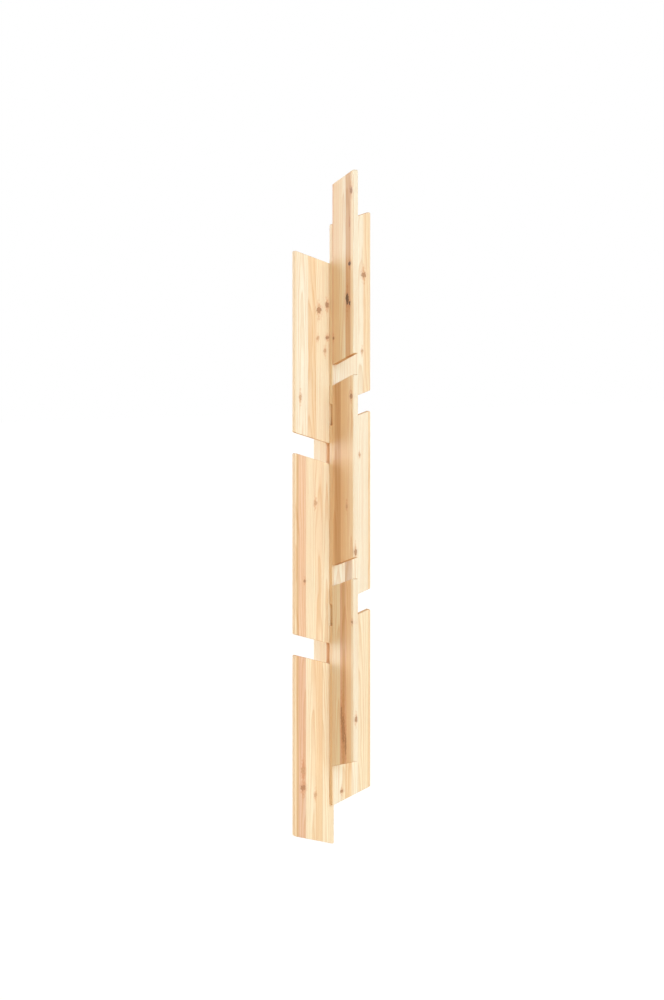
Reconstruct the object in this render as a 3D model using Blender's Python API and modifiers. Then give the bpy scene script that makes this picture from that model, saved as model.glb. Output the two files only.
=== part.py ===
"""Wall rack of nine slant-ended pine panels, staggered in three columns on a wall spine.

Looking down on it, the core is a stack of four layers, one behind the other: the inner edges of
the front panels, the left ends of the right panels, the right ends of the left panels, and the
inner edge of the spine. Fluted dowels run through the stack from front to back, and keyhole
hangers let into the spine's back edge hold it on the wall.

Frame: the origin is the middle of the spine's back edge, which rests on the wall. +X points to
the right of someone who faces the rack, +Y into the wall and +Z up. Units are metres.
"""

import math

import bmesh
import bpy
from mathutils import Matrix, Vector

# Boards
BOARD_THICKNESS = 0.018
PANEL_LENGTH = 0.600
SIDE_PANEL_WIDTH = 0.150
FRONT_PANEL_WIDTH = 0.135
SPINE_WIDTH = 0.084
END_ANGLE = math.radians(17.2)
CORNER_RADIUS = 0.005
PANEL_ARRIS_RADIUS = 0.002
SPINE_ARRIS_RADIUS = 0.001

# Columns
PANEL_GAP = 0.0675
STAGGER = 0.1335
SPINE_INSET = 0.020
ROW_NAMES = ("top", "middle", "bottom")

# Clearance of a glued or seated face
SEAT = 0.0003

# Dowels
DOWEL_RADIUS = 0.004
DOWEL_CHAMFER = 0.001
FLUTE_DEPTH = 0.0004
FLUTE_COUNT = 9
EDGE_DEPTH = 0.024
FACE_DEPTH = 0.012
DOWEL_END_ROOM = 0.001
DOWEL_INSET = 0.035
DOWEL_PITCH_MAX = 0.140
HOLE_SIDES = 16

# Keyhole hangers
HANGER_WIDTH = 0.013
HANGER_LENGTH = 0.048
HANGER_THICKNESS = 0.0015
HANGER_INSET = 0.1475
HANGER_NAMES = ("top", "bottom")
KEYHOLE_ENTRY_RADIUS = 0.0045
KEYHOLE_SLOT_WIDTH = 0.0046
KEYHOLE_DROP = 0.013
KEYHOLE_POCKET_DEPTH = 0.010
KEYHOLE_POCKET_MARGIN = 0.0007

# Hanger screws
SCREW_SPACING = 0.038
SCREW_HEAD_RADIUS = 0.0028
SCREW_SHANK_RADIUS = 0.0015
SCREW_LENGTH = 0.016
SCREW_TIP_LENGTH = 0.003
SCREW_SIDES = 16

# Roundness of small arcs, and the angles that tell curves from edges
CORNER_STEPS = 6
ARRIS_STEPS = 2
SLOT_STEPS = 6
EASED_EDGE_ANGLE = math.radians(50)
SHARP_EDGE_ANGLE = math.radians(30)
FLAT_ANGLE = math.radians(1)
WELD = 1e-6

# Levels of the four layers, from the front panels' inner edges back to the wall
PITCH = PANEL_LENGTH + PANEL_GAP
SPINE_EDGE_Y = -SPINE_WIDTH
LEFT_BACK_Y = SPINE_EDGE_Y - SEAT
LEFT_FRONT_Y = LEFT_BACK_Y - BOARD_THICKNESS
RIGHT_BACK_Y = LEFT_FRONT_Y - SEAT
RIGHT_FRONT_Y = RIGHT_BACK_Y - BOARD_THICKNESS
FRONT_EDGE_Y = RIGHT_FRONT_Y - SEAT

# Heights at the core: the spine's back edge is centred on the origin
SPINE_LENGTH = PITCH * (len(ROW_NAMES) - 1) + PANEL_LENGTH - 2 * SPINE_INSET
SPINE_TOP_Z = SPINE_LENGTH / 2 - SPINE_WIDTH * math.tan(END_ANGLE)
LEFT_TOP_Z = SPINE_TOP_Z + SPINE_INSET
RIGHT_TOP_Z = LEFT_TOP_Z + STAGGER
FRONT_TOP_Z = RIGHT_TOP_Z + STAGGER

PART_COLLECTION = "wall_rack"
CUTTER_COLLECTION = "wall_rack_cutters"


def clear_scene():
    """Remove the objects that the scene holds at the start."""
    for obj in list(bpy.data.objects):
        bpy.data.objects.remove(obj, do_unlink=True)


def new_collection(name):
    """Return a fresh collection linked to the scene."""
    collection = bpy.data.collections.new(name)
    bpy.context.scene.collection.children.link(collection)
    return collection


def new_material(name, colour, roughness, metallic=0.0):
    """Return a Principled material with one colour."""
    material = bpy.data.materials.new(name)
    material.use_nodes = True
    shader = material.node_tree.nodes["Principled BSDF"]
    shader.inputs["Base Color"].default_value = (*colour, 1.0)
    shader.inputs["Roughness"].default_value = roughness
    shader.inputs["Metallic"].default_value = metallic
    material.diffuse_color = (*colour, 1.0)
    return material


def add_object(name, mesh, collection, material=None, matrix=None):
    """Put a mesh in a collection as one object."""
    obj = bpy.data.objects.new(name, mesh)
    collection.objects.link(obj)
    if material is not None:
        mesh.materials.append(material)
    if matrix is not None:
        obj.matrix_world = matrix
    return obj


def hide_cutter(obj):
    """Mark an object as a cutter, which is no piece of the rack."""
    obj.hide_render = True
    obj.display_type = "WIRE"
    return obj


def arc(centre, radius, start, sweep, steps):
    """Points on a circular arc in the plane, both ends included."""
    points = []
    for step in range(steps + 1):
        angle = start + sweep * step / steps
        points.append(centre + radius * Vector((math.cos(angle), math.sin(angle))))
    return points


def rounded_polygon(corners, radius, steps):
    """Round each corner of a convex polygon, given anticlockwise, with an arc of one radius."""
    points = []
    for index, corner in enumerate(corners):
        before = (corners[index - 1] - corner).normalized()
        after = (corners[(index + 1) % len(corners)] - corner).normalized()
        half_angle = before.angle(after) / 2
        centre = corner + (before + after).normalized() * radius / math.sin(half_angle)
        touch = corner + before * radius / math.tan(half_angle) - centre
        start = math.atan2(touch.y, touch.x)
        points += arc(centre, radius, start, math.pi - 2 * half_angle, steps)
    return points


def stadium(width, low, high, steps):
    """A slot outline of one width, whose end arcs are centred at the heights low and high."""
    radius = width / 2
    top = arc(Vector((0, high)), radius, 0, math.pi, steps)
    bottom = arc(Vector((0, low)), radius, math.pi, math.pi, steps)
    return top + bottom


def sheet_mesh(name, outlines, thickness):
    """A flat sheet between the outlines, centred on its own plane, as one welded mesh."""
    curve = bpy.data.curves.new(name, "CURVE")
    curve.dimensions = "2D"
    curve.fill_mode = "BOTH"
    curve.extrude = thickness / 2
    for outline in outlines:
        spline = curve.splines.new("POLY")
        spline.points.add(len(outline) - 1)
        for point, place in zip(spline.points, outline):
            point.co = (place.x, place.y, 0, 1)
        spline.use_cyclic_u = True
    holder = bpy.data.objects.new(name + "_outline", curve)
    bpy.context.scene.collection.objects.link(holder)
    bpy.context.view_layer.update()
    evaluated = holder.evaluated_get(bpy.context.evaluated_depsgraph_get())
    mesh = bpy.data.meshes.new_from_object(evaluated)
    mesh.name = name
    bpy.data.objects.remove(holder, do_unlink=True)
    bpy.data.curves.remove(curve)
    body = bmesh.new()
    body.from_mesh(mesh)
    bmesh.ops.remove_doubles(body, verts=body.verts, dist=WELD)
    bmesh.ops.dissolve_limit(body, angle_limit=FLAT_ANGLE, verts=body.verts, edges=body.edges)
    bmesh.ops.recalc_face_normals(body, faces=body.faces)
    body.to_mesh(mesh)
    body.free()
    return mesh


def cut(obj, cutter):
    """Take a cutter's shape out of an object."""
    boolean = obj.modifiers.new("cut_" + cutter.name, "BOOLEAN")
    boolean.operation = "DIFFERENCE"
    boolean.solver = "EXACT"
    boolean.object = cutter


def board(name, width, length, heading, edge, arris_radius, collection, material):
    """One slant-ended board.

    The board's inner edge is upright, from the point edge down by the length, and the board
    runs from it in the heading's direction. Both ends rise outwards at the end angle. Every
    arris is eased to the arris radius.
    """
    rise = width * math.tan(END_ANGLE)
    corners = [
        Vector((0, -length)),
        Vector((width, rise - length)),
        Vector((width, rise)),
        Vector((0, 0)),
    ]
    outline = rounded_polygon(corners, CORNER_RADIUS, CORNER_STEPS)
    mesh = sheet_mesh(name, [outline], BOARD_THICKNESS)
    turn = Matrix.Rotation(heading, 4, "Z") @ Matrix.Rotation(math.pi / 2, 4, "X")
    obj = add_object(name, mesh, collection, material, Matrix.Translation(edge) @ turn)
    easing = obj.modifiers.new("eased_arrises", "BEVEL")
    easing.width = arris_radius
    easing.segments = ARRIS_STEPS
    easing.limit_method = "ANGLE"
    easing.angle_limit = EASED_EDGE_ANGLE
    return obj


def column(prefix, width, heading, x, y, top, collection, material):
    """The panels of one column, one under the other."""
    panels = []
    shape = (PANEL_ARRIS_RADIUS, collection, material)
    for row, row_name in enumerate(ROW_NAMES):
        edge = Vector((x, y, top - row * PITCH))
        name = f"{prefix}_panel_{row_name}"
        panels.append(board(name, width, PANEL_LENGTH, heading, edge, *shape))
    return panels


def spans(top):
    """The heights, low and high, that the panels of one column cover at the core."""
    return [(top - row * PITCH - PANEL_LENGTH, top - row * PITCH) for row in range(len(ROW_NAMES))]


def shared(first, second):
    """The stretches that two lists of spans have in common."""
    common = []
    for low_a, high_a in first:
        for low_b, high_b in second:
            low = max(low_a, low_b)
            high = min(high_a, high_b)
            if high - low > 2 * DOWEL_RADIUS:
                common.append((low, high))
    return common


def dowel_heights(span):
    """Even heights for the dowels of one stretch, or its middle where it is short."""
    low, high = span
    usable = high - low - 2 * DOWEL_INSET
    if usable < 4 * DOWEL_RADIUS:
        return [(low + high) / 2]
    gaps = math.ceil(usable / DOWEL_PITCH_MAX)
    return [low + DOWEL_INSET + usable * index / gaps for index in range(gaps + 1)]


def dowel_plan():
    """Where the dowels go: for each kind, a list of front end, back end and height.

    A dowel goes EDGE_DEPTH into an inner edge, right through a board that has a neighbour on
    both sides, and FACE_DEPTH into the board where the stack ends.
    """
    front = spans(FRONT_TOP_Z)
    right = spans(RIGHT_TOP_Z)
    left = spans(LEFT_TOP_Z)
    front_on_right = shared(front, right)
    above_left = [(left[0][1], front_on_right[0][1])]
    below_front = [(right[-1][0], front[-1][0])]
    below_right = [(SPINE_TOP_Z - SPINE_LENGTH, right[-1][0])]
    into_front = FRONT_EDGE_Y - EDGE_DEPTH
    into_spine = SPINE_EDGE_Y + EDGE_DEPTH
    groups = [
        ("core_dowel", into_front, into_spine, shared(front_on_right, left)),
        ("lower_dowel", RIGHT_BACK_Y - FACE_DEPTH, into_spine, shared(below_front, left)),
        ("end_dowel", into_front, RIGHT_FRONT_Y + FACE_DEPTH, above_left),
        ("end_dowel", LEFT_BACK_Y - FACE_DEPTH, into_spine, below_right),
    ]
    plan = {}
    for kind, front_end, back_end, stretches in groups:
        for stretch in stretches:
            for height in dowel_heights(stretch):
                plan.setdefault(kind, []).append((front_end, back_end, height))
    return plan


def add_rod(body, radius, front_end, back_end, height, sides):
    """Add a capped rod along Y, at the middle of the core, to a bmesh."""
    place = Matrix.Translation((0, (front_end + back_end) / 2, height))
    bmesh.ops.create_cone(
        body,
        cap_ends=True,
        segments=sides,
        radius1=radius,
        radius2=radius,
        depth=back_end - front_end,
        matrix=place @ Matrix.Rotation(math.pi / 2, 4, "X"),
    )


def finish_mesh(name, body):
    """Turn a bmesh into a mesh and free it."""
    mesh = bpy.data.meshes.new(name)
    body.to_mesh(mesh)
    body.free()
    return mesh


def dowel_holes(plan, collection):
    """One cutter for all the dowel holes of all the boards."""
    body = bmesh.new()
    for places in plan.values():
        for front_end, back_end, height in places:
            add_rod(body, DOWEL_RADIUS + SEAT, front_end, back_end, height, HOLE_SIDES)
    return hide_cutter(add_object("dowel_holes", finish_mesh("dowel_holes", body), collection))


def dowel_mesh(name, length):
    """A fluted dowel along Y with chamfered ends, centred on its own middle."""
    body = bmesh.new()
    add_rod(body, DOWEL_RADIUS, -length / 2, length / 2, 0, 2 * FLUTE_COUNT)
    flute_scale = 1 - FLUTE_DEPTH / DOWEL_RADIUS
    for vert in body.verts:
        half_turns = math.atan2(vert.co.z, vert.co.x) / math.pi * FLUTE_COUNT
        if round(half_turns) % 2:
            vert.co.x *= flute_scale
            vert.co.z *= flute_scale
    rims = [edge for edge in body.edges if any(len(face.verts) > 4 for face in edge.link_faces)]
    bmesh.ops.bevel(body, geom=rims, offset=DOWEL_CHAMFER, segments=1, affect="EDGES")
    return finish_mesh(name, body)


def dowels(kind, places, collection, material):
    """The dowels of one kind, numbered from the top, each a little shorter than its hole."""
    front_end, back_end, _ = places[0]
    mesh = dowel_mesh(kind, back_end - front_end - 2 * DOWEL_END_ROOM)
    mesh.materials.append(material)
    from_top = sorted(places, key=lambda place: -place[2])
    for number, (front_end, back_end, height) in enumerate(from_top, start=1):
        place = Matrix.Translation((0, (front_end + back_end) / 2, height))
        add_object(f"{kind}_{number}", mesh, collection, matrix=place)


def hanger_heights():
    """The middle heights of the keyhole hangers, near the ends of the spine's back edge."""
    height = SPINE_LENGTH / 2 - HANGER_INSET
    return [height, -height]


def facing_wall(depth, height):
    """Placement of a flat piece: seen from the wall, its own Y is up and its own Z faces out."""
    turn = Matrix.Rotation(math.pi, 4, "Z") @ Matrix.Rotation(math.pi / 2, 4, "X")
    return Matrix.Translation((0, depth, height)) @ turn


def keyhole_outline():
    """A round entry with a narrower slot that runs up from it to a round end."""
    half_slot = KEYHOLE_SLOT_WIDTH / 2
    entry = Vector((0, -KEYHOLE_DROP / 2))
    slot_end = Vector((0, KEYHOLE_DROP / 2))
    mouth = math.acos(half_slot / KEYHOLE_ENTRY_RADIUS)
    around = arc(entry, KEYHOLE_ENTRY_RADIUS, math.pi - mouth, math.pi + 2 * mouth, 2 * SLOT_STEPS)
    over = arc(slot_end, half_slot, 0, math.pi, SLOT_STEPS)
    return around + over


def circle(centre, radius, sides):
    """A round outline."""
    return arc(centre, radius, 0, math.tau * (sides - 1) / sides, sides - 1)


def screw_heights():
    """The heights of a hanger's two screws above its middle."""
    return (-SCREW_SPACING / 2, SCREW_SPACING / 2)


def countersinks():
    """The cutter for a hanger's countersinks, in the hanger's own frame."""
    body = bmesh.new()
    for height in screw_heights():
        bmesh.ops.create_cone(
            body,
            cap_ends=True,
            segments=SCREW_SIDES,
            radius1=SCREW_SHANK_RADIUS + SEAT,
            radius2=SCREW_HEAD_RADIUS + 2 * SEAT,
            depth=HANGER_THICKNESS + 2 * SEAT,
            matrix=Matrix.Translation((0, height, 0)),
        )
    return finish_mesh("countersinks", body)


def keyhole_hanger(name, height, collection, cutters, material):
    """A steel strip with round ends, its keyhole and two countersunk screw holes."""
    straight = (HANGER_LENGTH - HANGER_WIDTH) / 2
    outer = stadium(HANGER_WIDTH, -straight, straight, SLOT_STEPS)
    mesh = sheet_mesh(name, [outer, keyhole_outline()], HANGER_THICKNESS)
    place = facing_wall(-HANGER_THICKNESS / 2, height)
    hanger = add_object(name, mesh, collection, material, place)
    sinks = add_object(name + "_countersinks", countersinks(), cutters, matrix=place)
    cut(hanger, hide_cutter(sinks))


def hanger_pockets(height, cutters):
    """The cutters for one hanger's seat, the room behind its keyhole and its pilot holes."""
    straight = (HANGER_LENGTH - HANGER_WIDTH) / 2
    seat_depth = HANGER_THICKNESS + SEAT
    outline = stadium(HANGER_WIDTH + 2 * SEAT, -straight, straight, SLOT_STEPS)
    pockets = [("seat", outline, seat_depth)]
    room_width = 2 * (KEYHOLE_ENTRY_RADIUS + KEYHOLE_POCKET_MARGIN)
    outline = stadium(room_width, -KEYHOLE_DROP / 2, KEYHOLE_DROP / 2, SLOT_STEPS)
    pockets.append(("room", outline, KEYHOLE_POCKET_DEPTH))
    pilot_depth = SCREW_LENGTH + SEAT
    for index, screw_height in enumerate(screw_heights()):
        outline = circle(Vector((0, screw_height)), SCREW_SHANK_RADIUS + SEAT, SCREW_SIDES)
        pockets.append((f"pilot_{index}", outline, pilot_depth))
    made = []
    overshoot = SPINE_WIDTH
    for kind, outline, depth in pockets:
        mesh = sheet_mesh(kind, [outline], depth + overshoot)
        place = facing_wall((overshoot - depth) / 2, height)
        made.append(hide_cutter(add_object(f"{kind}_{height:.2f}", mesh, cutters, matrix=place)))
    return made


def hanger_screws(collection, material):
    """The countersunk screws of all the hangers, each turned from one profile."""
    head_height = HANGER_THICKNESS - SEAT
    profile = [
        (0, 0),
        (SCREW_HEAD_RADIUS, 0),
        (SCREW_SHANK_RADIUS, -head_height),
        (SCREW_SHANK_RADIUS, SCREW_TIP_LENGTH - SCREW_LENGTH),
        (0, -SCREW_LENGTH),
    ]
    mesh = bpy.data.meshes.new("hanger_screw")
    points = [(radius, 0, depth) for radius, depth in profile]
    mesh.from_pydata(points, [(index, index + 1) for index in range(len(points) - 1)], [])
    mesh.materials.append(material)
    for hanger_name, hanger_height in zip(HANGER_NAMES, hanger_heights()):
        for end_name, screw_height in zip(("lower", "upper"), screw_heights()):
            place = facing_wall(0, hanger_height + screw_height)
            name = f"hanger_screw_{hanger_name}_{end_name}"
            screw = add_object(name, mesh, collection, matrix=place)
            turned = screw.modifiers.new("turned", "SCREW")
            turned.axis = "Z"
            turned.steps = SCREW_SIDES
            turned.render_steps = SCREW_SIDES
            turned.use_merge_vertices = True
            turned.merge_threshold = WELD


def shade(collection):
    """Shade the round faces smooth and keep the edges between flat ones."""
    for obj in collection.objects:
        obj.data.shade_smooth()
        obj.data.set_sharp_from_angle(angle=SHARP_EDGE_ANGLE)


def build():
    """Make every piece of the rack.

    The dowel holes are the boards' last cut, so no other cut meets an edge full of holes.
    """
    clear_scene()
    parts = new_collection(PART_COLLECTION)
    cutters = new_collection(CUTTER_COLLECTION)
    pine = new_material("pine", (0.83, 0.66, 0.44), 0.55)
    beech = new_material("beech", (0.72, 0.50, 0.31), 0.60)
    zinc = new_material("zinc_plated_steel", (0.62, 0.63, 0.64), 0.35, 1.0)

    end_x = BOARD_THICKNESS / 2
    right_y = (RIGHT_FRONT_Y + RIGHT_BACK_Y) / 2
    left_y = (LEFT_FRONT_Y + LEFT_BACK_Y) / 2
    forward, rightward, leftward, wallward = -math.pi / 2, 0.0, math.pi, math.pi / 2
    boards = column("front", FRONT_PANEL_WIDTH, forward, 0, FRONT_EDGE_Y, FRONT_TOP_Z, parts, pine)
    boards += column("right", SIDE_PANEL_WIDTH, rightward, -end_x, right_y, RIGHT_TOP_Z, parts, pine)
    boards += column("left", SIDE_PANEL_WIDTH, leftward, end_x, left_y, LEFT_TOP_Z, parts, pine)
    spine_edge = Vector((0, SPINE_EDGE_Y, SPINE_TOP_Z))
    spine_shape = (SPINE_WIDTH, SPINE_LENGTH, wallward, spine_edge, SPINE_ARRIS_RADIUS)
    spine = board("wall_spine", *spine_shape, parts, pine)
    boards.append(spine)

    for hanger_name, height in zip(HANGER_NAMES, hanger_heights()):
        keyhole_hanger(f"keyhole_hanger_{hanger_name}", height, parts, cutters, zinc)
        for pocket in hanger_pockets(height, cutters):
            cut(spine, pocket)
    hanger_screws(parts, zinc)

    plan = dowel_plan()
    holes = dowel_holes(plan, cutters)
    for wood in boards:
        cut(wood, holes)
    for kind, places in plan.items():
        dowels(kind, places, parts, beech)
    shade(parts)


build()
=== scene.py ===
"""Looks of the wall rack: lacquered knotty pine boards, beech dowels and zinc-plated hangers.

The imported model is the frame: metres, +X to the right of someone who faces the rack, +Y into
the wall and +Z up. Every board is made again from its node's box with rounder arrises, carved
for its dowels and hangers, and dressed in pine whose rings run through faces, edges and ends.
"""

import logging
import math
from collections.abc import Iterable, Mapping, Sequence
from dataclasses import dataclass, field
from enum import Enum

import bpy
import numpy as np
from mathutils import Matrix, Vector


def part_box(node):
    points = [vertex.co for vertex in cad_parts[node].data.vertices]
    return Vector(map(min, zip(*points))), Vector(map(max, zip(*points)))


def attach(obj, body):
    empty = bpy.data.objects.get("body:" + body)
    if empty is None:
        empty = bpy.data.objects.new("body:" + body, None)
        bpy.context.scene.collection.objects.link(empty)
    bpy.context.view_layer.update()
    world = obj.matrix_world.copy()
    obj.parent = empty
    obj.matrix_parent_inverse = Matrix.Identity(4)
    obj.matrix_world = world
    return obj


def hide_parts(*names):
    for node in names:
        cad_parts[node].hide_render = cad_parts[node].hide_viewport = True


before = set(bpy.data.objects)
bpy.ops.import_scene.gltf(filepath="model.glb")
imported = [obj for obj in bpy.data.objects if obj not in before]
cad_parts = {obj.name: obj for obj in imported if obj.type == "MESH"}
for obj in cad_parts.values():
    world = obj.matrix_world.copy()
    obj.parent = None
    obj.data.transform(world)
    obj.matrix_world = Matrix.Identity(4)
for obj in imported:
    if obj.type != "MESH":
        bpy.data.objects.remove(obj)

Colour = tuple[float, float, float, float]
Material = bpy.types.Material
Object = bpy.types.Object
Point = tuple[float, float, float]
Socket = bpy.types.NodeSocket

LOG = logging.getLogger("wall_rack")
MM = 0.001
UP = np.array((0.0, 0.0, 1.0))
SEAT = 0.3 * MM  # Room between a piece and the seat or hole that holds it.
WHITE = (1.0, 1.0, 1.0, 1.0)
MIX_A, MIX_B, MIXED = 6, 7, 2  # A Mix node's two colour inputs, and its colour output.


def linear(code: str) -> Colour:
    """Turn an sRGB hex colour into linear light.

    Args:
        code: The colour as "#RRGGBB".

    Returns:
        Red, green, blue and an alpha of 1, in linear light.
    """
    encoded = np.array([int(code[place : place + 2], 16) / 255 for place in (1, 3, 5)])
    light = np.where(encoded <= 0.04045, encoded / 12.92, ((encoded + 0.055) / 1.055) ** 2.4)
    return (*light.tolist(), 1.0)


@dataclass
class Nodes:
    """The nodes of a material or of the world.

    Attributes:
        tree: The node tree that they join.
    """

    tree: bpy.types.NodeTree

    def add(
        self,
        kind: str,
        inputs: Mapping[str | int, object] | None = None,
        output: str | int | None = 0,
        **settings: object,
    ) -> Socket | bpy.types.Node:
        """Add a node with its settings and links.

        Args:
            kind: Blender's type name of the node, after "ShaderNode".
            inputs: Socket name or number to a value, or to the output that feeds it.
            output: Name or number of the output that is wanted; none for the whole node.
            **settings: Properties of the node itself.

        Returns:
            The output or node that is wanted.
        """
        node = self.tree.nodes.new(f"ShaderNode{kind}")
        for name, value in settings.items():
            setattr(node, name, value)
        for key, value in (inputs or {}).items():
            if isinstance(value, Socket):
                self.tree.links.new(value, node.inputs[key])
            else:
                node.inputs[key].default_value = value
        return node if output is None else node.outputs[output]

    def stretched_noise(
        self, place: Socket, size: Point, detail: float, seed: Socket | None = None
    ) -> Socket:
        """Noise from 0 to 1 that changes over a size of its own along each axis.

        Args:
            place: Where it is read.
            size: The size of its largest forms, in the unit of the place.
            detail: How many times finer forms are added.
            seed: A number that picks the noise, where staves differ.

        Returns:
            The noise.
        """
        scale = tuple(1 / length for length in size)
        inputs = {"Vector": self.add("Mapping", {"Vector": place, "Scale": scale})}
        inputs |= {"Scale": 1.0, "Detail": detail}
        if seed is None:
            return self.add("TexNoise", inputs)
        return self.add("TexNoise", {**inputs, "W": seed}, noise_dimensions="4D")


def fill_ramp(
    ramp: Socket, stops: Iterable[tuple[float, Colour | float]], smooth: str = "LINEAR"
) -> Socket:
    """Give a colour ramp its stops.

    Args:
        ramp: The output of a Color Ramp node.
        stops: Each stop's place from 0 to 1, in rising order, and its colour or grey level.
        smooth: Blender's name of the interpolation between stops.

    Returns:
        The same output.
    """
    band = ramp.node.color_ramp
    band.interpolation = smooth
    placed = list(stops)
    while len(band.elements) < len(placed):
        band.elements.new(1.0)
    while len(band.elements) > len(placed):
        band.elements.remove(band.elements[-1])
    for element, (place, shown) in zip(band.elements, placed):
        element.position = place
        element.color = shown if isinstance(shown, tuple) else (shown, shown, shown, 1.0)
    return ramp


def new_material(name: str) -> tuple[Material, Nodes]:
    """Make a node material.

    Args:
        name: The material's name.

    Returns:
        The material and its nodes, of which there are none yet.
    """
    material = bpy.data.materials.new(name)
    material.use_nodes = True
    material.node_tree.nodes.clear()
    return material, Nodes(material.node_tree)


def dress(piece: Object, material: Material) -> None:
    """Give a piece or a CAD node's object one material all over."""
    piece.data.materials.clear()
    piece.data.materials.append(material)


def stand_for(piece: Object, node: str) -> None:
    """Let a finished piece take a CAD node's place on the rack's only body, and report it.

    Args:
        piece: The piece.
        node: The node that it replaces.
    """
    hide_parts(node)
    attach(piece, "root")
    LOG.info("%s stands for %s: %d faces", piece.name, node, len(piece.data.polygons))


def box_of(node: str) -> np.ndarray:
    """A node's lowest and highest corners, as two rows."""
    return np.array([tuple(corner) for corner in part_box(node)])


def on_circle(angle: np.ndarray) -> np.ndarray:
    """Points of the unit circle, the cosine and sine of each angle in a row of two."""
    return np.stack((np.cos(angle), np.sin(angle)), axis=-1)


def mesh_object(name: str, vertices: np.ndarray, faces: Sequence[Sequence[int]]) -> Object:
    """Put arrays into a mesh object at the origin.

    Args:
        name: The object's name.
        vertices: An array of places in metres, one row each.
        faces: Vertex numbers of each face, anticlockwise from outside.

    Returns:
        The linked object.
    """
    mesh = bpy.data.meshes.new(name)
    mesh.from_pydata(vertices.tolist(), [], faces)
    mesh.update()
    obj = bpy.data.objects.new(name, mesh)
    bpy.context.scene.collection.objects.link(obj)
    return obj


def tube_faces(around: int, along: int) -> list[list[int]]:
    """Faces of a closed tube whose vertex number is its ring's number times around, plus its place.

    Args:
        around: Points in each ring, anticlockwise seen from the last ring.
        along: Rings.

    Returns:
        The quads between neighbouring rings, then a many-sided cap at each end.
    """
    place = np.arange(around)
    after = (place + 1) % around
    start = (np.arange(along - 1) * around)[:, None]
    corners = (start + place, start + after, start + around + after, start + around + place)
    quads = np.stack(corners, axis=-1).reshape(-1, 4).tolist()
    return [*quads, place[::-1].tolist(), (place + (along - 1) * around).tolist()]


def prism_places(outline: np.ndarray, ends: tuple[float, float]) -> np.ndarray:
    """The vertices of a prism along Y, which is one outline at two places.

    Args:
        outline: Its points in X and Z, clockwise seen from the front.
        ends: Its lower and higher end along Y.

    Returns:
        The places, those of the lower end first.
    """
    rings = np.empty((2, len(outline), 3))
    rings[..., ::2] = outline
    rings[..., 1] = np.array(ends)[:, None]
    return rings.reshape(-1, 3)


def shade(obj: Object, sharp_angle: float) -> None:
    """Shade an object smooth but for edges sharper than an angle."""
    obj.data.shade_smooth()
    obj.data.set_sharp_from_angle(angle=sharp_angle)


def carve(obj: Object, cutters: Sequence[Object]) -> None:
    """Cut shapes out of an object, keep the result in its mesh and throw the cutters away.

    Args:
        obj: The piece that is cut.
        cutters: Closed meshes, each taken out in turn.
    """
    for cutter in cutters:
        boolean = obj.modifiers.new(cutter.name, "BOOLEAN")
        boolean.operation = "DIFFERENCE"
        boolean.solver = "EXACT"
        boolean.object = cutter
    bpy.context.view_layer.update()
    evaluated = obj.evaluated_get(bpy.context.evaluated_depsgraph_get())
    carved = bpy.data.meshes.new_from_object(evaluated)
    solid = obj.data
    obj.modifiers.clear()
    obj.data = carved
    bpy.data.meshes.remove(solid)
    carved.name = obj.name
    for cutter in cutters:
        shape = cutter.data
        bpy.data.objects.remove(cutter, do_unlink=True)
        bpy.data.meshes.remove(shape)


class Heading(Enum):
    """The way a board runs from the core, in the horizontal plane."""

    FRONT = (0.0, -1.0)
    RIGHT = (1.0, 0.0)
    LEFT = (-1.0, 0.0)
    WALL = (0.0, 1.0)

    @property
    def across(self) -> np.ndarray:
        """Unit vector from the inner edge to the outer one."""
        return np.array((*self.value, 0.0))

    @property
    def face(self) -> np.ndarray:
        """Unit vector out of the face that makes a right-handed set with across and up."""
        return np.cross(self.across, UP)

    @property
    def turn(self) -> float:
        """The turn about Z that brings across onto +X."""
        return -math.atan2(self.value[1], self.value[0])


class Tone(Enum):
    """Colours of planed and lacquered pine, from white sapwood to brown heartwood; a few narrow
    bands use them for painted shade.
    """

    CREAM = "#FEF5DF"
    PALE = "#FDEECF"
    STRAW = "#FBE5C2"
    HONEY = "#F8DCB4"
    PEACH = "#F5D2B1"
    ROSE = "#EEC9AB"
    TAN = "#E3BC8F"
    HEART = "#DDC3A8"


class Stain(Enum):
    """What darkens the wood: the tint that multiplies its colour, and how far it does."""

    LATEWOOD = ("#E9C69C", 0.47)
    STREAK = ("#EFCDAE", 0.40)
    FIBRE = ("#E6CBA8", 0.30)
    GLUE = ("#C99A6A", 0.45)
    KNOT_FLARE = ("#E8BA96", 0.55)
    END_GRAIN = ("#E0C099", 1.0)


class Joint(Enum):
    """How a band of colour meets the next one, as half the width of the change in mm."""

    GLUED = 0.15
    GROWN = 2.5


class KnotKind(Enum):
    """Knots by their look: the colours of bark ring and middle, and how far they cover."""

    SOUND = ("#A8744C", "#B98560", 0.85)
    FAINT = ("#C99468", "#D2A27A", 0.70)
    DARK = ("#4A2E1C", "#6E4A30", 0.95)


@dataclass(frozen=True)
class Band:
    """A band of one tone that runs the length of a board.

    Attributes:
        width: Its width in mm.
        tone: Its colour.
        joint: How it meets the next band outwards.
    """

    width: float
    tone: Tone
    joint: Joint = Joint.GLUED


@dataclass(frozen=True)
class Knot:
    """A knot, by its place on the board in mm.

    Attributes:
        across: Distance from the inner edge.
        height: Height above the inner bottom corner.
        width: Radius across the grain.
        length: Radius along the grain.
        kind: Its look.
        depth: Radius through the thickness, endless where the knot goes right through.
        lift: Distance of its middle from the board's middle plane.
    """

    across: float
    height: float
    width: float
    length: float
    kind: KnotKind = KnotKind.SOUND
    depth: float = math.inf
    lift: float = 0.0


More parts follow.
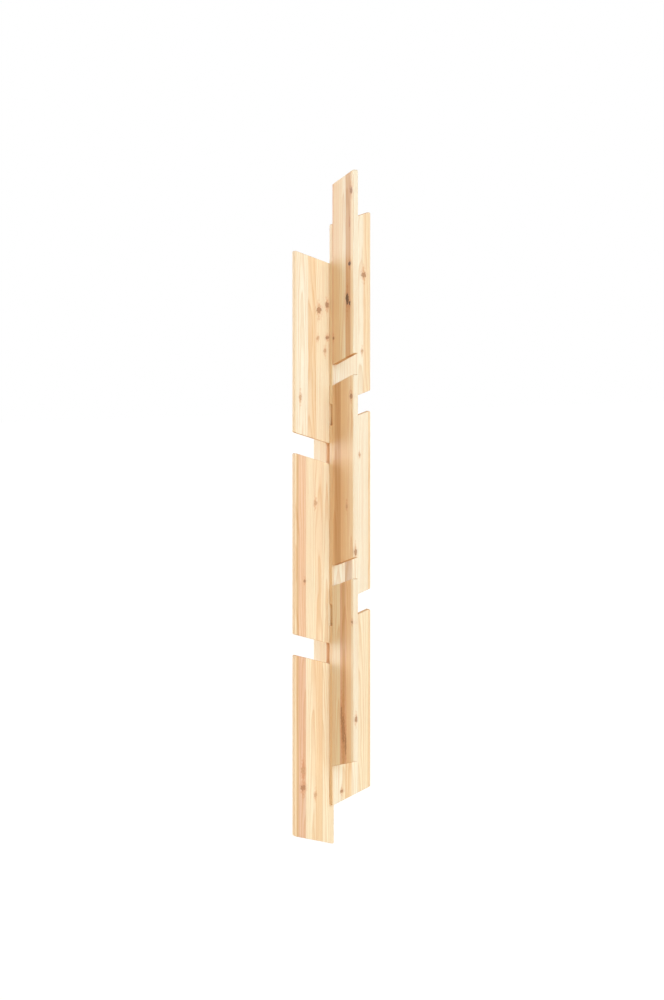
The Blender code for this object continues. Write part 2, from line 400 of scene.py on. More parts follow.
@dataclass(frozen=True)
class LacqueredPine:
    """Edge-glued Scots pine, planed, sanded and sealed with a clear satin lacquer.

    The eye sees cream sapwood beside honey heartwood, darker latewood lines that follow each
    stave's own rings, brown knots that the grain bends around, hairline glue joints, and ends
    that drink the lacquer and look darker.

    Attributes:
        bands: Bands of colour from the inner edge outwards, a few of them painted shade.
        knots: The board's knots, at least one.
        seed: A number that sets how each stave was sawn from its log.
    """

    bands: tuple[Band, ...]
    knots: tuple[Knot, ...]
    seed: int

    def staves(self) -> list[tuple[float, float]]:
        """Take the bands between two glue lines as one stave.

        Returns:
            Start and end of each stave, in mm from the inner edge.
        """
        found = []
        start = place = 0.0
        for band in self.bands:
            place += band.width
            if band.joint is Joint.GLUED or band is self.bands[-1]:
                found.append((start, place))
                start = place
        return found

    def material(self, name: str, board: "Board") -> Material:
        """Make the material of one board.

        Args:
            name: The material's name.
            board: The board, whose place centres the pattern.

        Returns:
            The material.
        """
        material, nodes = new_material(name)
        Grain(nodes.tree, self, board).draw()
        return material


@dataclass
class Grain(Nodes):
    """The nodes of one board's wood, which read Object coordinates. Sizes are in mm.

    Attributes:
        wood: The wood.
        board: The board.
        place: Places on the board: X outwards, Y through it and Z up from its inner corner.
        share: Distance from the inner edge as a share of the board's width.
        stave: Each stave's middle as such a share, and two numbers that vary by stave.
    """

    wood: LacqueredPine
    board: "Board"
    place: Socket = field(init=False)
    share: Socket = field(init=False)
    stave: tuple[Socket, ...] = field(init=False)

    RING_SPACING = 3.4
    # Latewood by the share of a ring's spacing.
    RING_PROFILE = ((0.0, 0.25), (0.06, 0.0), (0.45, 0.1), (0.78, 0.75), (0.93, 1.0), (1.0, 0.25))
    PITH_SWAY = 34.0  # How far to the side of its stave's middle a pith line may lie.
    PITH_NEAR = 26.0  # How far it lies from the board's middle plane at least.
    PITH_SPREAD = 44.0  # How much further off it may lie.
    TAPER = 0.011  # How much a ring's radius grows for each mm of height.
    WAVER = 9.0  # How much it wavers.
    WAVER_SIZE = (45.0, 45.0, 260.0)
    STREAK_SIZE = (9.0, 9.0, 420.0)
    STREAK_SEEDS = 40.0  # Keeps the streaks of two staves apart.
    FIBRE_SIZE = (0.5, 0.5, 22.0)  # Real fibres are a tenth of a mm wide, too fine to show.
    GLUE_LINE = ((-0.35, 0.0), (-0.14, 1.0), (0.14, 1.0), (0.35, 0.0))
    GOLDEN = 0.61803  # Its multiples spread the staves' numbers evenly, and the seed moves them.
    SEED_STEPS = (0.37, 0.73)
    BEND = 0.85  # How far the grain at a knot's middle is drawn to it.
    BEND_REACH = (2.6, 3.2)  # Where that ends, in knot radii across and along the grain.
    FLARE_REACH = (1.5, 5.0)  # Where the rosy flare ends, in the same way.
    FLARE_FADE = ((0.15, 1.0), (1.0, 0.0))
    RAGGED = 0.4  # How far a knot's outline strays, in knot radii.
    RAGGED_SIZE = (5.0, 5.0, 8.0)
    KNOT_SPAN = 2.5  # The knot radii that a place of 1 stands for in the next four lines.
    KNOT_COVER = ((0.0, 1.0), (0.36, 1.0), (0.44, 0.42), (0.62, 0.2), (1.0, 0.0))
    KNOT_RIMS = (0.03, 0.17, 0.31, 0.38)
    KNOT_HEARTS = (0.08, 0.14, 0.2, 0.27)
    KNOT_EDGE = (0.5, linear("#D79C76"))
    END_SLOPE = (0.55, 0.8)  # Upward share of a normal where the end grain starts and is full.
    SHEEN = (0.46, 0.38)  # Roughness of earlywood and latewood.
    END_ROUGHER = 0.2
    FIBRE_RELIEF = -0.3  # Fibres are shallow grooves beside the raised latewood.
    RELIEF = 0.06 * MM

    def __post_init__(self) -> None:
        """Lay the nodes that the patterns share."""
        self.place = self.board_place()
        across = self.add("SeparateXYZ", {0: self.place}, "X")
        self.share = self.add("Math", {0: across, 1: self.width}, operation="DIVIDE")
        self.stave = self.stave_values()

    @property
    def width(self) -> float:
        """The board's width."""
        return self.board.width / MM

    def draw(self) -> None:
        """Lay all the nodes, from the wood's colour to the lacquered surface."""
        rings, fibre, ends = self.rings(), self.fibre(), self.end_grain()
        colour = self.stained(self.wood_colour(), rings, Stain.LATEWOOD)
        colour = self.stained(colour, self.streaks(), Stain.STREAK)
        colour = self.stained(colour, fibre, Stain.FIBRE)
        colour = self.stained(colour, self.glue_lines(), Stain.GLUE)
        colour = self.stained(self.knot_colours(colour), ends, Stain.END_GRAIN)
        early, late = self.SHEEN
        sheen = self.add("MapRange", {"Value": rings, "To Min": early, "To Max": late})
        rough = {0: ends, 1: self.END_ROUGHER, 2: sheen}
        relief = {0: fibre, 1: self.FIBRE_RELIEF, 2: rings}
        height = self.add("Math", relief, operation="MULTIPLY_ADD")
        bump = {"Strength": 0.35, "Distance": self.RELIEF, "Height": height}
        surface = {
            "Base Color": colour,
            "Roughness": self.add("Math", rough, operation="MULTIPLY_ADD"),
            "IOR": 1.5,
            "Coat Weight": 0.08,
            "Coat Roughness": 0.35,
            "Normal": self.add("Bump", bump),
        }
        self.add("OutputMaterial", {"Surface": self.add("BsdfPrincipled", surface)}, None)

    def board_place(self) -> Socket:
        """Turn and move Object coordinates onto the board.

        Returns:
            The place.
        """
        turn = self.board.heading.turn
        x, y, z = self.board.corner / MM
        cosine, sine = math.cos(turn), math.sin(turn)
        inputs = {
            "Vector": self.add("TexCoord", output="Object"),
            "Location": (y * sine - x * cosine, -x * sine - y * cosine, -z),
            "Rotation": (0.0, 0.0, turn),
            "Scale": (1 / MM, 1 / MM, 1 / MM),
        }
        return self.add("Mapping", inputs)

    def stave_values(self) -> tuple[Socket, ...]:
        """Give each stave its middle and its two numbers.

        Returns:
            The three values.
        """
        stops: list[tuple[float, Colour]] = []
        one, two = (self.wood.seed * step for step in self.SEED_STEPS)
        for number, (start, end) in enumerate(self.wood.staves(), start=1):
            first = (number * self.GOLDEN + one) % 1
            second = (number * self.GOLDEN * self.GOLDEN + two) % 1
            middle = (start + end) / 2 / self.width
            stops.append((start / self.width, (middle, first, second, 1.0)))
        ramp = fill_ramp(self.add("ValToRGB", {0: self.share}), stops, "CONSTANT")
        return tuple(self.add("SeparateColor", {0: ramp}, None).outputs)

    def wood_colour(self) -> Socket:
        """The bands' colours across the board, painted shade included, crisp at a glue line and
        soft elsewhere.

        Returns:
            The colour.
        """
        stops: list[tuple[float, Colour]] = []
        place = before = 0.0
        for band in self.wood.bands:
            colour = linear(band.tone.value)
            after = 0.0 if band is self.wood.bands[-1] else band.joint.value
            stops.append(((place + before) / self.width, colour))
            place += band.width
            stops.append(((place - after) / self.width, colour))
            before = after
        return fill_ramp(self.add("ValToRGB", {0: self.share}), stops)

    def glue_lines(self) -> Socket:
        """A hairline where two staves meet.

        Returns:
            1 on a glue line and 0 elsewhere.
        """
        stops = [(0.0, 0.0)]
        for _, end in self.wood.staves()[:-1]:
            stops += [((end + offset) / self.width, level) for offset, level in self.GLUE_LINE]
        return fill_ramp(self.add("ValToRGB", {0: self.share}), stops)

    def rings(self) -> Socket:
        """Latewood, by the distance from a pith line that each stave has for itself.

        The radius is the length of the sideways and depth distances from the pith, plus the
        log's taper along its length and a slow waver. Its share of a ring's spacing rises
        slowly through the earlywood and drops at once after the latewood.

        Returns:
            The latewood, from 0 to 1.
        """
        place = self.bent_place()
        across, depth, up = self.add("SeparateXYZ", {0: place}, None).outputs
        middle, first, second = self.stave
        sway = {"Value": first, "To Min": -self.PITH_SWAY, "To Max": self.PITH_SWAY}
        beside = {0: middle, 1: self.width, 2: self.add("MapRange", sway)}
        behind = {0: second, 1: self.PITH_SPREAD, 2: self.PITH_NEAR}
        away = {}
        for axis, (distance, pith) in enumerate(((across, beside), (depth, behind))):
            line = self.add("Math", pith, operation="MULTIPLY_ADD")
            away[axis] = self.add("Math", {0: distance, 1: line}, operation="SUBTRACT")
        flat = self.add("CombineXYZ", away)
        radius = self.add("VectorMath", {0: flat}, "Value", operation="LENGTH")
        waver = self.stretched_noise(place, self.WAVER_SIZE, 2.0, second)
        for change, amount in ((up, self.TAPER), (waver, self.WAVER)):
            grown = {0: change, 1: amount, 2: radius}
            radius = self.add("Math", grown, operation="MULTIPLY_ADD")
        turns = self.add("Math", {0: radius, 1: self.RING_SPACING}, operation="DIVIDE")
        share = self.add("Math", {0: turns}, operation="FRACT")
        return fill_ramp(self.add("ValToRGB", {0: share}), self.RING_PROFILE, "EASE")

    def bent_place(self) -> Socket:
        """Draw places sideways towards each knot, so that ring lines bow out around it.

        Returns:
            The drawn places.
        """
        across, depth, up = self.add("SeparateXYZ", {0: self.place}, None).outputs
        bent = across
        for knot in self.wood.knots:
            distance = self.knot_distance(knot, self.BEND_REACH)
            fall = {"Value": distance, "To Min": self.BEND, "To Max": 0.0}
            pull = self.add("MapRange", fall, interpolation_type="SMOOTHSTEP")
            offset = self.add("Math", {0: knot.across, 1: across}, operation="SUBTRACT")
            bent = self.add("Math", {0: offset, 1: pull, 2: bent}, operation="MULTIPLY_ADD")
        return self.add("CombineXYZ", {0: bent, 1: depth, 2: up})

    def knot_distance(self, knot: Knot, reach: tuple[float, float]) -> Socket:
        """Distance from a knot's middle, in its radii times a reach.

        Args:
            knot: The knot.
            reach: What its radii across and along the grain are multiplied by.

        Returns:
            The distance.
        """
        scale = (1 / (knot.width * reach[0]), 1 / knot.depth, 1 / (knot.length * reach[1]))
        middle = (knot.across, knot.lift, knot.height)
        location = tuple(-size * share for size, share in zip(middle, scale))
        moved = self.add("Mapping", {"Vector": self.place, "Location": location, "Scale": scale})
        return self.add("VectorMath", {0: moved}, "Value", operation="LENGTH")

    def ragged_distance(
        self, knots: Sequence[Knot], shift: Socket, reach: tuple[float, float] = (1.0, 1.0)
    ) -> Socket:
        """Distance from the nearest of some knots, in its radii times a reach.

        Args:
            knots: The knots.
            shift: What makes it ragged.
            reach: What their radii across and along the grain are multiplied by.

        Returns:
            The distance.
        """
        nearest, *others = [self.knot_distance(knot, reach) for knot in knots]
        for distance in others:
            nearest = self.add("Math", {0: nearest, 1: distance}, operation="MINIMUM")
        return self.add("Math", {0: nearest, 1: shift}, operation="ADD")

    def knot_colours(self, colour: Socket) -> Socket:
        """Colour the knots: a rosy flare along the grain, a dark rim and a ringed brown heart.

        Args:
            colour: The wood's colour.

        Returns:
            The colour with its knots.
        """
        noise = self.stretched_noise(self.place, self.RAGGED_SIZE, 3.0)
        ragged = {"Value": noise, "From Min": 0.3, "From Max": 0.7}
        ragged |= {"To Min": -self.RAGGED, "To Max": self.RAGGED}
        shift = self.add("MapRange", ragged)
        flare = self.ragged_distance(self.wood.knots, shift, self.FLARE_REACH)
        glow = fill_ramp(self.add("ValToRGB", {0: flare}), self.FLARE_FADE, "EASE")
        colour = self.stained(colour, glow, Stain.KNOT_FLARE)
        for kind in KnotKind:
            knots = [knot for knot in self.wood.knots if knot.kind is kind]
            if not knots:
                continue
            rim, heart, strength = kind.value
            span = {0: self.ragged_distance(knots, shift), 1: self.KNOT_SPAN}
            share = self.add("Math", span, operation="DIVIDE")
            cover = fill_ramp(self.add("ValToRGB", {0: share}), self.KNOT_COVER, "EASE")
            growth = [self.KNOT_EDGE]
            growth += [(at, linear(rim)) for at in self.KNOT_RIMS]
            growth += [(at, linear(heart)) for at in self.KNOT_HEARTS]
            body = fill_ramp(self.add("ValToRGB", {0: share}), sorted(growth))
            amount = self.add("Math", {0: cover, 1: strength}, operation="MULTIPLY")
            mix = {0: amount, MIX_A: colour, MIX_B: body}
            colour = self.add("Mix", mix, MIXED, data_type="RGBA")
        return colour

    def streaks(self) -> Socket:
        """Slow streaks of darker wood along each stave.

        Returns:
            The streaks, from 0 to 1.
        """
        draw = {0: self.stave[1], 1: self.STREAK_SEEDS}
        seed = self.add("Math", draw, operation="MULTIPLY")
        noise = self.stretched_noise(self.place, self.STREAK_SIZE, 3.0, seed)
        return self.add("MapRange", {"Value": noise, "From Min": 0.35, "From Max": 0.75})

    def fibre(self) -> Socket:
        """Fine fibres along the grain, from 0 to 1, drawn wider than real ones."""
        noise = self.stretched_noise(self.place, self.FIBRE_SIZE, 2.0)
        return self.add("MapRange", {"Value": noise, "From Min": 0.3, "From Max": 0.7})

    def end_grain(self) -> Socket:
        """The sawn ends, whose normals point mostly up or down.

        Returns:
            1 on the ends and 0 elsewhere.
        """
        normal = self.add("NewGeometry", output="Normal")
        tilt = self.add("SeparateXYZ", {0: normal}, "Z")
        steep = self.add("Math", {0: tilt}, operation="ABSOLUTE")
        low, high = self.END_SLOPE
        return self.add("MapRange", {"Value": steep, "From Min": low, "From Max": high})

    def stained(self, colour: Socket, amount: Socket, stain: Stain) -> Socket:
        """Darken a colour where a pattern shows.

        Args:
            colour: The colour.
            amount: The pattern, from 0 to 1.
            stain: What the pattern does to the colour.

        Returns:
            The stained colour.
        """
        code, strength = stain.value
        tint = fill_ramp(self.add("ValToRGB", {0: amount}), ((0.0, 1.0), (1.0, linear(code))))
        mix = {0: strength, MIX_A: colour, MIX_B: tint}
        return self.add("Mix", mix, MIXED, data_type="RGBA", blend_type="MULTIPLY")


@dataclass(frozen=True)
class TurnedBeech:
    """Steamed beech dowel rod, sanded and left raw: pinkish brown with short darker flecks.

    Attributes:
        wood: Colour of the wood.
        fleck: Colour of its flecks.
        fleck_size: Their size, long in the way of the dowel.
    """

    wood: str = "#CFA27C"
    fleck: str = "#A97A55"
    fleck_size: Point = (0.35 * MM, 2.5 * MM, 0.35 * MM)

    def material(self) -> Material:
        """Make the material, with flecks that run along the dowel.

        Returns:
            The material.
        """
        material, nodes = new_material("steamed_beech")
        place = nodes.add("TexCoord", output="Object")
        flecks = nodes.stretched_noise(place, self.fleck_size, 2.0)
        stops = ((0.45, linear(self.wood)), (0.72, linear(self.fleck)))
        bump = {"Strength": 0.3, "Distance": 0.05 * MM, "Height": flecks}
        surface = {
            "Base Color": fill_ramp(nodes.add("ValToRGB", {0: flecks}), stops),
            "Roughness": 0.62,
            "IOR": 1.5,
            "Normal": nodes.add("Bump", bump),
        }
        nodes.add("OutputMaterial", {"Surface": nodes.add("BsdfPrincipled", surface)}, None)
        return material


@dataclass(frozen=True)
class ZincPlate:
    """Pressed steel with bright zinc plating: bluish silver, faintly clouded, finely scratched.

    Attributes:
        bright: Colour of the plating.
        cloud: Colour of its clouds.
        cloud_size: Their size.
        scratch_size: The scratches' size, long in the way of the strip.
    """

    bright: str = "#C3C7CC"
    cloud: str = "#9FA5AD"
    cloud_size: Point = (2.2 * MM, 2.2 * MM, 2.2 * MM)
    scratch_size: Point = (0.12 * MM, 0.12 * MM, 3.6 * MM)

    def material(self) -> Material:
        """Make the material: clouds shift the colour and scratches the roughness.

        Returns:
            The material.
        """
        material, nodes = new_material("zinc_plated_steel_bright")
        place = nodes.add("TexCoord", output="Object")
        clouds = nodes.stretched_noise(place, self.cloud_size, 3.0)
        stops = ((0.35, linear(self.bright)), (0.7, linear(self.cloud)))
        scratches = nodes.stretched_noise(place, self.scratch_size, 1.0)
        rough = {"Value": scratches, "To Min": 0.28, "To Max": 0.5}
        bump = {"Strength": 0.15, "Distance": 0.02 * MM, "Height": scratches}
        surface = {
            "Base Color": fill_ramp(nodes.add("ValToRGB", {0: clouds}), stops),
            "Metallic": 1.0,
            "Roughness": nodes.add("MapRange", rough),
            "Normal": nodes.add("Bump", bump),
        }
        nodes.add("OutputMaterial", {"Surface": nodes.add("BsdfPrincipled", surface)}, None)
        return material


@dataclass
class Board:
    """One slant-ended board, made again from its node's box.

    Attributes:
        node: The CAD node that it stands for.
        name: The piece's own name.
        heading: The way it runs from the core.
        finish: Its wood.
        end_angle: How steeply both ends rise outwards.
        corner_radius: Radius of the corners seen square on.
        arris_radius: Radius of the eased arrises.
        support: Width of the flat strip beside each arris, which keeps the flats flat.
        corner_steps: Steps round a corner.
        arris_steps: Steps round an arris.
        sharp_angle: The least turn between faces that shows as an edge.
        width: From the inner edge to the outer one.
        thickness: Through the board.
        length: Along the upright edges.
        corner: The inner bottom corner, halfway through the board.
    """

    node: str
    name: str
    heading: Heading
    finish: LacqueredPine
    end_angle: float = math.radians(17.2)
    corner_radius: float = 5.0 * MM
    arris_radius: float = 2.0 * MM
    support: float = 0.4 * MM
    corner_steps: int = 10
    arris_steps: int = 5
    sharp_angle: float = math.radians(32)
    width: float = field(init=False)
    thickness: float = field(init=False)
    length: float = field(init=False)
    corner: np.ndarray = field(init=False)

    def __post_init__(self) -> None:
        """Read the board's sizes from its node's box.

        A rounded acute corner stops short of the sharp one by the radius times
        (1 + sin) / cos of the end angle less 1, so that is added back at both ends.
        """
        low, high = box_of(self.node)
        extent = high - low
        self.width = float(abs(extent @ self.heading.across))
        self.thickness = float(abs(extent @ self.heading.face))
        blunt = (1 + math.sin(self.end_angle)) / math.cos(self.end_angle)
        short = (blunt - 1) * self.corner_radius
        self.length = float(extent[2]) + 2 * short - self.rise
        self.corner = (low + high) / 2 - self.heading.across * self.width / 2
        self.corner[2] = low[2] - short

    @property
    def rise(self) -> float:
        """How far both ends rise from the inner edge to the outer one."""
        return self.width * math.tan(self.end_angle)

    def arcs(self) -> tuple[np.ndarray, np.ndarray]:
        """Arc centres and outward normals at each point of the rounded outline.

        An arc's centre is its corner moved inwards by the radius from both edges, which is
        the corner less the radius times the sum of the edges' normals over 1 plus their dot
        product. Within a corner the normal turns evenly from one edge's to the next one's.

        Returns:
            Two arrays of places (outwards, up), one row for each outline point, anticlockwise.
        """
        top = self.rise + self.length
        corners = np.array(((0, 0), (self.width, self.rise), (self.width, top), (0, self.length)))
        down = 1.5 * math.pi + self.end_angle
        up = 0.5 * math.pi + self.end_angle
        starts = np.array((math.pi, down, 0, up))
        ends = np.array((down, 2 * math.pi, up, math.pi))
        first, last = on_circle(starts), on_circle(ends)
        dot = np.sum(first * last, axis=-1, keepdims=True)
        centres = corners - self.corner_radius * (first + last) / (1 + dot)
        share = np.linspace(0, 1, self.corner_steps + 1)
        angles = starts[:, None] + (ends - starts)[:, None] * share
        return np.repeat(centres, len(share), axis=0), on_circle(angles).reshape(-1, 2)

    def section(self) -> tuple[np.ndarray, np.ndarray]:
        """Inset and depth of the rings from the back face round the edge to the front face.

        Each arris is a quarter circle: the inset shrinks with the sine of the turn while the
        depth grows with 1 less its cosine. A flat strip goes before and after each arris.

        Returns:
            Two arrays with one number for each ring.
        """
        radius = self.arris_radius
        turn = np.linspace(0, math.pi / 2, self.arris_steps + 1)
        inset = np.concatenate(((radius + self.support,), radius * (1 - np.sin(turn)), (0.0,)))
        rise = np.concatenate(((0.0,), radius * (1 - np.cos(turn)), (radius + self.support,)))
        half = self.thickness / 2
        depth = np.concatenate((rise - half, (half - rise)[::-1]))
        return np.concatenate((inset, inset[::-1])), depth

    def build(self, cutters: Sequence[Object]) -> Object:
        """Make the board, carve it and dress it.

        Args:
            cutters: Closed meshes of the holes and seats in this board.

        Returns:
            The finished piece.
        """
        centres, normals = self.arcs()
        inset, depth = self.section()
        radius = self.corner_radius - inset
        flat = centres[None, :, :] + radius[:, None, None] * normals[None, :, :]
        places = (
            self.corner
            + flat[..., :1] * self.heading.across
            + flat[..., 1:] * UP
            + depth[:, None, None] * self.heading.face
        )
        faces = tube_faces(len(centres), len(depth))
        obj = mesh_object(self.name, places.reshape(-1, 3), faces)
        carve(obj, cutters)
        shade(obj, self.sharp_angle)
        dress(obj, self.finish.material(f"lacquered_pine_{self.name}", self))
        stand_for(obj, self.node)
        return obj


@dataclass
class Bore:
    """A round hole along Y for one dowel or screw, worked out from the node that fills it.

    Attributes:
        node: The dowel or screw.
        radius: The hole's radius.
        end_room: How much longer the hole is than its node, at each end.
        sides: Sides of the hole.
    """

    node: str
    radius: float
    end_room: float
    sides: int = 32

    def places(self) -> np.ndarray:
        """The vertices of the cylinder that the hole takes out, front end first.

        Returns:
            An array of places.
        """
        low, high = box_of(self.node)
        angle = -np.linspace(0, 2 * math.pi, self.sides, endpoint=False)
        outline = ((low + high) / 2)[::2] + self.radius * on_circle(angle)
        return prism_places(outline, (low[1] - self.end_room, high[1] + self.end_room))


def bores_cutter(name: str, bores: Sequence[Bore]) -> Object:
    """One mesh of separate closed cylinders, which cuts all the bores at once.

    Args:
        name: The cutter's name.
        bores: The holes.

    Returns:
        The cutter.
    """
    places = [bore.places() for bore in bores]
    faces: list[list[int]] = []
    start = 0
    for bore, part in zip(bores, places):
        faces += [[start + corner for corner in face] for face in tube_faces(bore.sides, 2)]
        start += len(part)
    return mesh_object(name, np.concatenate(places), faces)


@dataclass
class Core:
    """The beech dowels that run from front to back through the boards.

    Attributes:
        finish: The dowels' wood.
        end_room: Room at each end of a dowel's hole.
    """

    finish: TurnedBeech = TurnedBeech()
    end_room: float = 1.0 * MM

    def nodes(self) -> list[str]:
        """The dowels' node names."""
        return [name for name in sorted(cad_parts) if "_dowel_" in name]

    def bores(self) -> list[Bore]:
        """The dowels' holes, whose radius is the dowel's with its seat.

        Returns:
            One bore for each dowel.
        """
        made = []
        for node in self.nodes():
            low, high = box_of(node)
            made.append(Bore(node, (high[2] - low[2]) / 2 + SEAT, self.end_room))
        return made

    def dress(self) -> None:
        """Give the dowels their wood."""
        material = self.finish.material()
        for node in self.nodes():
            dress(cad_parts[node], material)
            LOG.info("%s keeps its CAD shape in beech", node)


@dataclass
class Hanger:
    """A keyhole hanger: the strip keeps its CAD shape, and its screws get thread and recess.

    Attributes:
        place: "top" or "bottom".
        finish: The metal.
        thread_pitch: Distance between turns of the thread.
        thread_radius: Outer radius of the thread.
        core_radius: Radius between its turns.
        pilot_room: Room round the thread in its pilot hole.
        recess_depth: Depth of the cross recess.
        recess_reach: Radius that the recess's wings reach.
        recess_slope: Width of the slope at the wings' ends.
        wing_width: Half the width of a wing.
        wing_slope: Width of the slope at its sides.
        head_depth: Depth of the countersunk head, where the thread starts.
        tip_length: Length of the pointed tip.
        entry_radius: Radius of the keyhole's round end.
        drop: Distance between the keyhole's two ends.
        room_depth: Depth of the hollow behind the keyhole.
        room_margin: Room round the keyhole in that hollow.
        beyond: How far its cutters reach out of the wall face.
        sharp_angle: The least turn between faces that shows as an edge.
    """

    place: str
    finish: ZincPlate = ZincPlate()
    thread_pitch: float = 1.1 * MM
    thread_radius: float = 1.7 * MM
    core_radius: float = 1.2 * MM
    pilot_room: float = 0.1 * MM
    recess_depth: float = 0.9 * MM
    recess_reach: float = 1.6 * MM
    recess_slope: float = 0.25 * MM
    wing_width: float = 0.32 * MM
    wing_slope: float = 0.12 * MM
    head_depth: float = 1.2 * MM
    tip_length: float = 3.0 * MM
    entry_radius: float = 4.5 * MM
    drop: float = 13.0 * MM
    room_depth: float = 10.0 * MM
    room_margin: float = 0.7 * MM
    beyond: float = 5.0 * MM
    sharp_angle: float = math.radians(40)

    END_STEPS = 16
    AROUND = 96
    FLAT_RINGS = 26
    FLAT_SPAN = (0.02, 0.985)  # The shares of the head's radius that those rings lie between.
    EDGE_DEPTH = (0.02 * MM, 0.12 * MM)
    SHANK_RINGS = 110
    TIP_ROOM = 0.05 * MM
    RIDGE = 0.25  # Half the thread's width, as a share of its pitch.

    @property
    def node(self) -> str:
        """The strip's node."""
        return f"keyhole_hanger_{self.place}"

    def screws(self) -> list[str]:
        """The nodes of the hanger's two screws."""
        return [f"hanger_screw_{self.place}_{end}" for end in ("upper", "lower")]

    def prism(
        self, name: str, half_width: float, ends: tuple[float, float], depth: float
    ) -> Object:
        """A closed prism along Y with round ends, from beyond the wall face into the spine.

        Args:
            name: The object's name.
            half_width: Half its width, which is also its ends' radius.
            ends: Heights of the lower and upper ends' centres.
            depth: How far it goes into the spine.

        Returns:
            The prism.
        """
        low, high = ends
        turn = on_circle(np.linspace(0, math.pi, self.END_STEPS + 1))
        outline = np.concatenate(((0, high) + half_width * turn, (0, low) - half_width * turn))
        places = prism_places(outline[::-1], (-depth, self.beyond))
        return mesh_object(name, places, tube_faces(len(outline), 2))

    def cutters(self) -> list[Object]:
        """Make what is cut out of the spine for the hanger.

        Returns:
            The strip's seat, the hollow behind its keyhole and the screws' pilot holes.
        """
        low, high = box_of(self.node)
        width, thickness, height = high - low
        middle = (low[2] + high[2]) / 2
        straight = height / 2 - width / 2
        seat_ends = (middle - straight, middle + straight)
        room_ends = (middle - self.drop / 2, middle + self.drop / 2)
        room_radius = self.entry_radius + self.room_margin
        pilot_radius = self.thread_radius + self.pilot_room
        pilots = [Bore(node, pilot_radius, SEAT) for node in self.screws()]
        return [
            self.prism(f"seat_{self.place}", width / 2 + SEAT, seat_ends, thickness + SEAT),
            self.prism(f"room_{self.place}", room_radius, room_ends, self.room_depth),
            bores_cutter(f"pilots_{self.place}", pilots),
        ]

    def screw_places(self, node: str) -> np.ndarray:
        """A countersunk screw as rings round an axis along Y, from its head's middle to its tip.

        The head's flat sinks by the recess depth where a point lies within a wing's half
        width of either cross axis and within the recess's reach, eased over a short slope.
        Below the head the radius is the core's plus a ridge that is highest where the depth
        over the pitch, less the turn, is half more than a whole number.

        Args:
            node: The screw's node, which gives its place, head radius and length.

        Returns:
            The places, one ring after another.
        """
        low, high = box_of(node)
        head = (high[0] - low[0]) / 2
        length = high[1] - low[1]
        turn = np.linspace(0, 2 * math.pi, self.AROUND, endpoint=False)
        flat_radius = np.linspace(*self.FLAT_SPAN, self.FLAT_RINGS) * head
        shank_depth = np.linspace(self.head_depth, length - self.TIP_ROOM, self.SHANK_RINGS)
        shank_radius = np.full(self.SHANK_RINGS, self.core_radius)
        radius = np.concatenate((flat_radius, (head, head), shank_radius))[:, None]
        depth = np.concatenate((np.zeros(self.FLAT_RINGS), self.EDGE_DEPTH, shank_depth))[:, None]
        ring = np.arange(len(radius))[:, None]
        off_axis = radius * np.minimum(np.abs(np.cos(turn)), np.abs(np.sin(turn)))
        wing = np.clip((self.wing_width + self.wing_slope - off_axis) / self.wing_slope, 0, 1)
        reach = np.clip((self.recess_reach - radius) / self.recess_slope, 0, 1)
        depth = depth + np.where(ring < self.FLAT_RINGS, self.recess_depth * wing * reach, 0)
        phase = (depth / self.thread_pitch - turn / (2 * math.pi)) % 1
        height = self.thread_radius - self.core_radius
        ridge = np.clip(1 - np.abs(phase - 0.5) / self.RIDGE, 0, 1) * height
        taper = np.clip((length - depth) / self.tip_length, 0, 1)
        grown = np.clip((depth - self.head_depth) / self.thread_pitch, 0, 1)
        threaded = ring >= self.FLAT_RINGS + len(self.EDGE_DEPTH)
        radius = np.where(threaded, (radius + ridge * grown) * taper, radius)
        x, _, z = (low + high) / 2
        places = (x + radius * np.cos(turn), high[1] - depth, z + radius * np.sin(turn))
        return np.stack(places, axis=-1).reshape(-1, 3)

    def build(self) -> list[Object]:
        """Dress the strip and make its screws.

        Returns:
            The screws.
        """
        metal = self.finish.material()
        dress(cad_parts[self.node], metal)
        LOG.info("%s keeps its CAD shape in zinc", self.node)
        made = []
        for node in self.screws():
            places = self.screw_places(node)
            faces = tube_faces(self.AROUND, len(places) // self.AROUND)
            obj = mesh_object(node.replace("hanger", "countersunk"), places, faces)
            shade(obj, self.sharp_angle)
            dress(obj, metal)
            stand_for(obj, node)
            made.append(obj)
        return made


